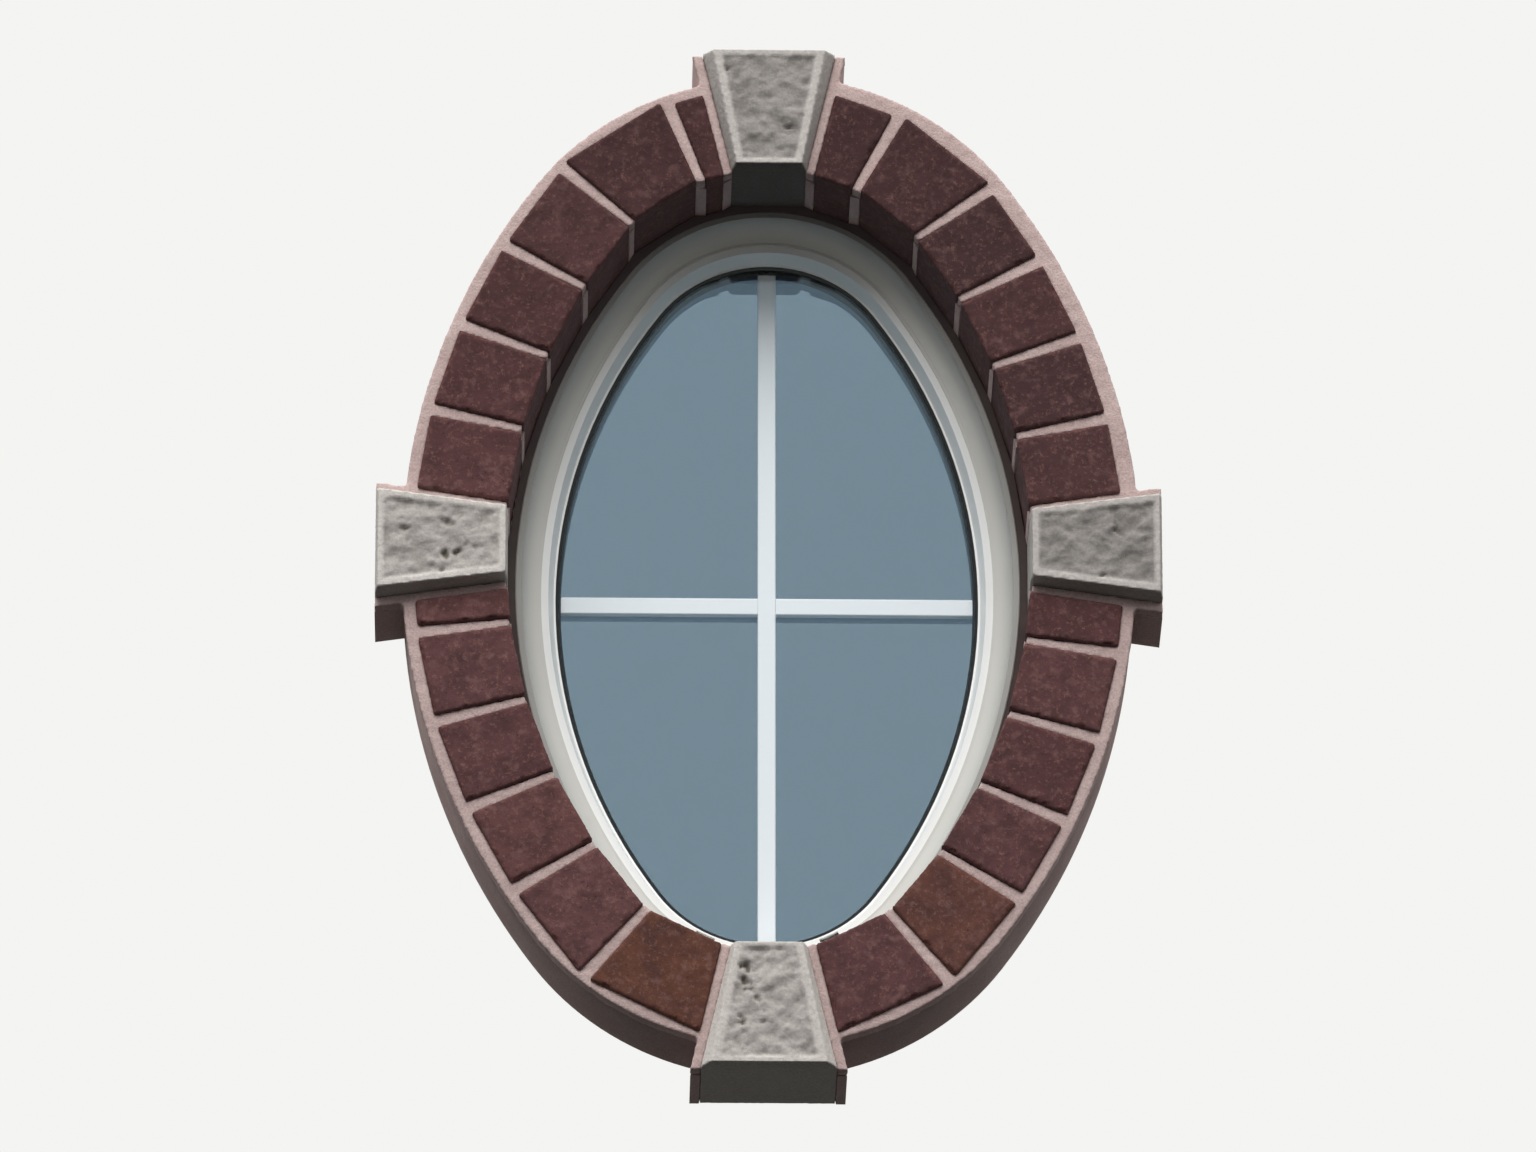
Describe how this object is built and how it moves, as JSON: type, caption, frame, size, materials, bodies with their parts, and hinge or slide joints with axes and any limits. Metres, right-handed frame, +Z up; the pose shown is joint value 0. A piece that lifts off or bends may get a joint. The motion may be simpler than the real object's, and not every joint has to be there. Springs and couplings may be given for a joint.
{
  "type": "oculus window",
  "caption": "Upright oval fixed window with white vinyl frame, cross bars in sealed glass and a ring of cut bricks with stone keystones.",
  "frame": {"origin": "centre of the oval, in the plane where the nailing fin bears on the wall sheathing", "axes": "+Y into the building, +Z up, +X to the right seen from outside"},
  "size_m": [0.754, 0.173, 1.064],
  "materials": {
    "burgundy_brick": "matte",
    "limestone": "matte",
    "beige_mortar": "matte",
    "white_vinyl": "satin",
    "fin_vinyl": "satin",
    "grey_sealant": "matte",
    "grey_foam": "matte",
    "black_rubber": "matte",
    "outer_glass": "polished",
    "inner_glass": "polished",
    "black_spacer": "matte",
    "black_seal": "matte",
    "white_bar": "satin",
    "grey_nylon": "matte",
    "hard_rubber": "matte"
  },
  "bodies": {
    "root": {"backer_rod": "grey_foam", "bar_end_keys": "grey_nylon", "bar_joiner": "grey_nylon", "bar_left": "white_bar", "bar_right": "white_bar", "bar_upright": "white_bar", "brick_01": "burgundy_brick", "brick_02": "burgundy_brick", "brick_03": "burgundy_brick", "brick_04": "burgundy_brick", "brick_05": "burgundy_brick", "brick_06": "burgundy_brick", "brick_07": "burgundy_brick", "brick_08": "burgundy_brick", "brick_09": "burgundy_brick", "brick_10": "burgundy_brick", "brick_11": "burgundy_brick", "brick_12": "burgundy_brick", "brick_13": "burgundy_brick", "brick_14": "burgundy_brick", "brick_15": "burgundy_brick", "brick_16": "burgundy_brick", "brick_17": "burgundy_brick", "brick_18": "burgundy_brick", "brick_19": "burgundy_brick", "brick_20": "burgundy_brick", "brick_21": "burgundy_brick", "brick_22": "burgundy_brick", "brick_23": "burgundy_brick", "brick_24": "burgundy_brick", "brickmould": "white_vinyl", "edge_seal": "black_seal", "exterior_gasket": "black_rubber", "frame": "white_vinyl", "glazing_bead_bottom": "white_vinyl", "glazing_bead_left": "white_vinyl", "glazing_bead_right": "white_vinyl", "glazing_bead_top": "white_vinyl", "inner_pane": "inner_glass", "interior_gasket": "black_rubber", "keystone_bottom": "limestone", "keystone_left": "limestone", "keystone_right": "limestone", "keystone_top": "limestone", "location_blocks": "hard_rubber", "mortar_lower_left": "beige_mortar", "mortar_lower_right": "beige_mortar", "mortar_upper_left": "beige_mortar", "mortar_upper_right": "beige_mortar", "nailing_fin": "fin_vinyl", "outer_pane": "outer_glass", "perimeter_sealant": "grey_sealant", "setting_blocks": "hard_rubber", "spacer": "black_spacer"}
  },
  "joints": []
}
